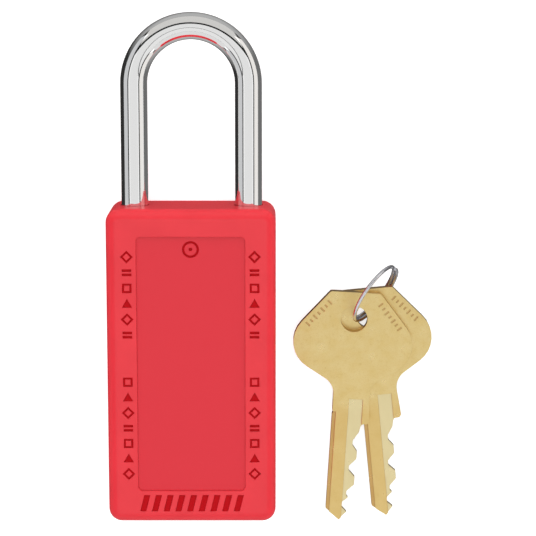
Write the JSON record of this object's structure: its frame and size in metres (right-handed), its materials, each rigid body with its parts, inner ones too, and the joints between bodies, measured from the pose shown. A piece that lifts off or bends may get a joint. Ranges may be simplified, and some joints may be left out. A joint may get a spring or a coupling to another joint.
{
  "type": "keyed safety padlock with keys",
  "caption": "Rectangular red padlock with a round steel shackle, lying on its back beside flat brass keys on a wire ring.",
  "frame": {"origin": "centre of the case's flat back face", "axes": "+X across the case, +Y towards the shackle, +Z out of the front face; the lock lies on its back"},
  "size_m": [0.0776, 0.1243, 0.02],
  "materials": {
    "red_plastic": "satin-gloss moulded thermoplastic",
    "chromed_steel": "polished chrome plate",
    "key_brass": "satin brass with light patina",
    "ring_wire": "nickel-plated wire",
    "zinc": "die-cast zinc",
    "steel": "turned steel",
    "pin_brass": "turned brass",
    "nylon": "natural nylon"
  },
  "bodies": {
    "lock_body": {"case": "red_plastic", "bottom_cover": "red_plastic", "cover_rivets": "steel", "core_frame": "zinc", "heel_bush": "nylon", "toe_bush": "nylon", "shackle_spring": "steel", "spring_seat": "nylon", "spindle_bush": "pin_brass", "spacer_sleeve": "zinc", "cylinder_housing": "zinc", "pin_cover": "zinc", "driver_pin_1": "pin_brass", "driver_pin_2": "pin_brass", "driver_pin_3": "pin_brass", "driver_pin_4": "pin_brass", "driver_pin_5": "pin_brass", "driver_pin_6": "pin_brass", "pin_spring_1": "steel", "pin_spring_2": "steel", "pin_spring_3": "steel", "pin_spring_4": "steel", "pin_spring_5": "steel", "pin_spring_6": "steel"},
    "plug_assembly": {"plug": "pin_brass", "plug_clip": "steel", "cam_spindle": "steel", "key_pin_1": "pin_brass", "key_pin_2": "pin_brass", "key_pin_3": "pin_brass", "key_pin_4": "pin_brass", "key_pin_5": "pin_brass", "key_pin_6": "pin_brass"},
    "shackle_assembly": {"shackle": "chromed_steel", "heel_retaining_ring": "steel"},
    "left_bolt": {"locking_bolt_left": "steel"},
    "right_bolt": {"locking_bolt_right": "steel"},
    "ring": {"key_ring": "ring_wire"},
    "upper_key": {"key_a": "key_brass"},
    "lower_key": {"key_b": "key_brass"}
  },
  "joints": [
    {"name": "shackle_lift", "type": "slide", "parent": "lock_body", "child": "shackle_assembly", "axis": [0, 1, 0], "range_m": [0, 0.015], "deforming": ["shackle_spring"]},
    {"name": "plug_turn", "type": "hinge", "parent": "lock_body", "child": "plug_assembly", "pos_m": [0, -0.03715, 0.01], "axis": [0, 1, 0], "range_deg": [0, 90]},
    {"name": "left_bolt_slide", "type": "slide", "parent": "lock_body", "child": "left_bolt", "axis": [1, 0, 0], "range_m": [0, 0.0041]},
    {"name": "right_bolt_slide", "type": "slide", "parent": "lock_body", "child": "right_bolt", "axis": [-1, 0, 0], "range_m": [0, 0.0041]},
    {"name": "keys_pick_up", "type": "slide", "parent": "lock_body", "child": "ring", "axis": [0, 0, 1], "range_m": [0, 0.05]},
    {"name": "upper_key_swing", "type": "hinge", "parent": "ring", "child": "upper_key", "pos_m": [0.04038, 0.009, 0.0053], "axis": [0.0047, -0.0469, 0.9989], "range_deg": [-10, 0]},
    {"name": "lower_key_swing", "type": "hinge", "parent": "ring", "child": "lower_key", "pos_m": [0.04197, 0.0094, 0.00335], "axis": [0.0047, -0.0469, 0.9989], "range_deg": [0, 25]}
  ],
  "couplings": [
    {"joint": "plug_turn", "follows": "shackle_lift", "rad_per_m": 104.72},
    {"joint": "left_bolt_slide", "follows": "shackle_lift", "ratio": 0.27333},
    {"joint": "right_bolt_slide", "follows": "shackle_lift", "ratio": 0.27333}
  ]
}
